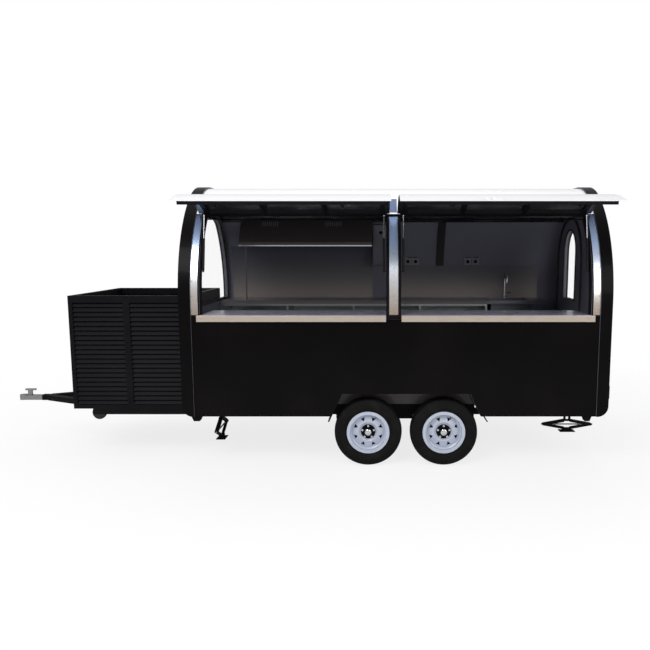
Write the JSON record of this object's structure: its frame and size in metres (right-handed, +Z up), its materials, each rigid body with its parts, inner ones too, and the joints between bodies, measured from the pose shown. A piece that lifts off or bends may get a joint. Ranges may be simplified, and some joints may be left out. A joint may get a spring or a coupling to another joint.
{
  "type": "food cart trailer",
  "caption": "Tandem-axle food cart with an arched hollow body, lift-up serving hatches, counters, rear door, front box and jockey wheel.",
  "frame": {"origin": "on the ground under the middle of the whole cart, with the hatches open", "axes": "+X along the length from the drawbar to the rear door, -Y towards the serving side, +Z up"},
  "size_m": [6.092, 2.6796, 2.685],
  "materials": {
    "body_gloss": "gloss black sandwich panel",
    "roof_gloss": "gloss off-white",
    "frame_satin": "satin black powder coat",
    "chassis_paint": "black chassis paint",
    "spring_steel": "dull plated steel",
    "stainless": "brushed stainless",
    "strut_black": "black gas strut",
    "strut_rod": "polished rod",
    "window_glass": "clear glazing",
    "handle_black": "black plastic",
    "floor_panel": "grey non-slip floor",
    "box_grey": "grey enamel",
    "rim_white": "white enamel",
    "tyre_rubber": "black rubber",
    "wheel_rubber": "black rubber",
    "lamp_red": "red lens"
  },
  "bodies": {
    "root": {"roof": "roof_gloss", "end_hoops": "body_gloss", "off_wall": "body_gloss", "wheel_boxes": "stainless", "floor": "floor_panel", "serving_wall": "body_gloss", "steel_strips": "stainless", "serving_counters": "stainless", "window_frame": "frame_satin", "front_wall": "body_gloss", "front_window_glass": "window_glass", "rear_wall": "body_gloss", "hinges": "frame_satin", "serving_cabinets": "stainless", "back_cabinets": "stainless", "sink_cabinet": "stainless", "back_counter": "stainless", "sink_unit": "stainless", "tap": "stainless", "range_hood": "stainless", "splashbacks": "stainless", "electric_box": "box_grey", "wall_fittings": "handle_black", "drawbar": "chassis_paint", "coupler": "spring_steel", "jockey_sleeve": "spring_steel", "front_box_frame": "frame_satin", "front_box_louvres": "frame_satin", "axles": "chassis_paint", "leaf_springs": "spring_steel", "chassis": "chassis_paint", "mud_flaps": "wheel_rubber", "corner_jacks": "chassis_paint", "jack_screws": "spring_steel", "tail_lamps": "lamp_red"},
    "wheel_serving_front": {"rim_serving_front": "rim_white", "tyre_serving_front": "tyre_rubber"},
    "wheel_serving_rear": {"rim_serving_rear": "rim_white", "tyre_serving_rear": "tyre_rubber"},
    "wheel_off_front": {"rim_off_front": "rim_white", "tyre_off_front": "tyre_rubber"},
    "wheel_off_rear": {"rim_off_rear": "rim_white", "tyre_off_rear": "tyre_rubber"},
    "hatch_left": {"hatch_left_skin": "roof_gloss", "hatch_left_frame": "frame_satin"},
    "struts_left": {"strut_left_cylinders": "strut_black"},
    "strut_rods_left": {"strut_left_rods": "strut_rod"},
    "hatch_right": {"hatch_right_skin": "roof_gloss", "hatch_right_frame": "frame_satin"},
    "struts_right": {"strut_right_cylinders": "strut_black"},
    "strut_rods_right": {"strut_right_rods": "strut_rod"},
    "door": {"door": "body_gloss", "door_glass": "window_glass", "door_handle": "handle_black"},
    "jockey_leg": {"jockey_leg": "spring_steel"},
    "jockey_fork": {"jockey_fork": "spring_steel"},
    "jockey_wheel": {"jockey_wheel": "wheel_rubber"}
  },
  "joints": [
    {"name": "wheel_serving_front_spin", "type": "hinge", "parent": "root", "child": "wheel_serving_front", "pos_m": [0.747, -0.54774, 0.323], "axis": [0, 1, 0], "continuous": true},
    {"name": "wheel_off_front_spin", "type": "hinge", "parent": "root", "child": "wheel_off_front", "pos_m": [0.747, 1.19726, 0.323], "axis": [0, 1, 0], "continuous": true},
    {"name": "wheel_serving_rear_spin", "type": "hinge", "parent": "root", "child": "wheel_serving_rear", "pos_m": [1.469, -0.54774, 0.323], "axis": [0, 1, 0], "continuous": true},
    {"name": "wheel_off_rear_spin", "type": "hinge", "parent": "root", "child": "wheel_off_rear", "pos_m": [1.469, 1.19726, 0.323], "axis": [0, 1, 0], "continuous": true},
    {"name": "hatch_left_hinge", "type": "hinge", "parent": "root", "child": "hatch_left", "pos_m": [1.004, -0.35529, 2.38754], "axis": [1, 0, 0], "range_deg": [0, 74]},
    {"name": "struts_left_foot", "type": "hinge", "parent": "root", "child": "struts_left", "pos_m": [1.004, -0.59024, 1.852], "axis": [1, 0, 0], "range_deg": [-16.67, 0]},
    {"name": "strut_rods_left_slide", "type": "slide", "parent": "struts_left", "child": "strut_rods_left", "axis": [0, 0.2022, 0.9793], "range_m": [-0.06459, 0]},
    {"name": "hatch_right_hinge", "type": "hinge", "parent": "root", "child": "hatch_right", "pos_m": [1.004, -0.35529, 2.38754], "axis": [1, 0, 0], "range_deg": [0, 74]},
    {"name": "struts_right_foot", "type": "hinge", "parent": "root", "child": "struts_right", "pos_m": [1.004, -0.59024, 1.852], "axis": [1, 0, 0], "range_deg": [-16.67, 0]},
    {"name": "strut_rods_right_slide", "type": "slide", "parent": "struts_right", "child": "strut_rods_right", "axis": [0, 0.2022, 0.9793], "range_m": [-0.06459, 0]},
    {"name": "door_hinge", "type": "hinge", "parent": "root", "child": "door", "pos_m": [3.013, 1.10876, 1.202], "axis": [0, 0, 1], "range_deg": [0, 110]},
    {"name": "jockey_lift", "type": "slide", "parent": "root", "child": "jockey_leg", "axis": [0, 0, 1], "range_m": [-0.216, 0]},
    {"name": "jockey_swivel", "type": "hinge", "parent": "jockey_leg", "child": "jockey_fork", "pos_m": [-2.228, 0.32476, 0.396], "axis": [0, 0, 1], "continuous": true},
    {"name": "jockey_roll", "type": "hinge", "parent": "jockey_fork", "child": "jockey_wheel", "pos_m": [-2.193, 0.32476, 0.294], "axis": [0, 1, 0], "continuous": true}
  ],
  "couplings": [
    {"joint": "struts_left_foot", "follows": "hatch_left_hinge", "ratio": -0.22508},
    {"joint": "strut_rods_left_slide", "follows": "hatch_left_hinge", "m_per_rad": -0.049931},
    {"joint": "struts_right_foot", "follows": "hatch_right_hinge", "ratio": -0.22508},
    {"joint": "strut_rods_right_slide", "follows": "hatch_right_hinge", "m_per_rad": -0.049931}
  ]
}
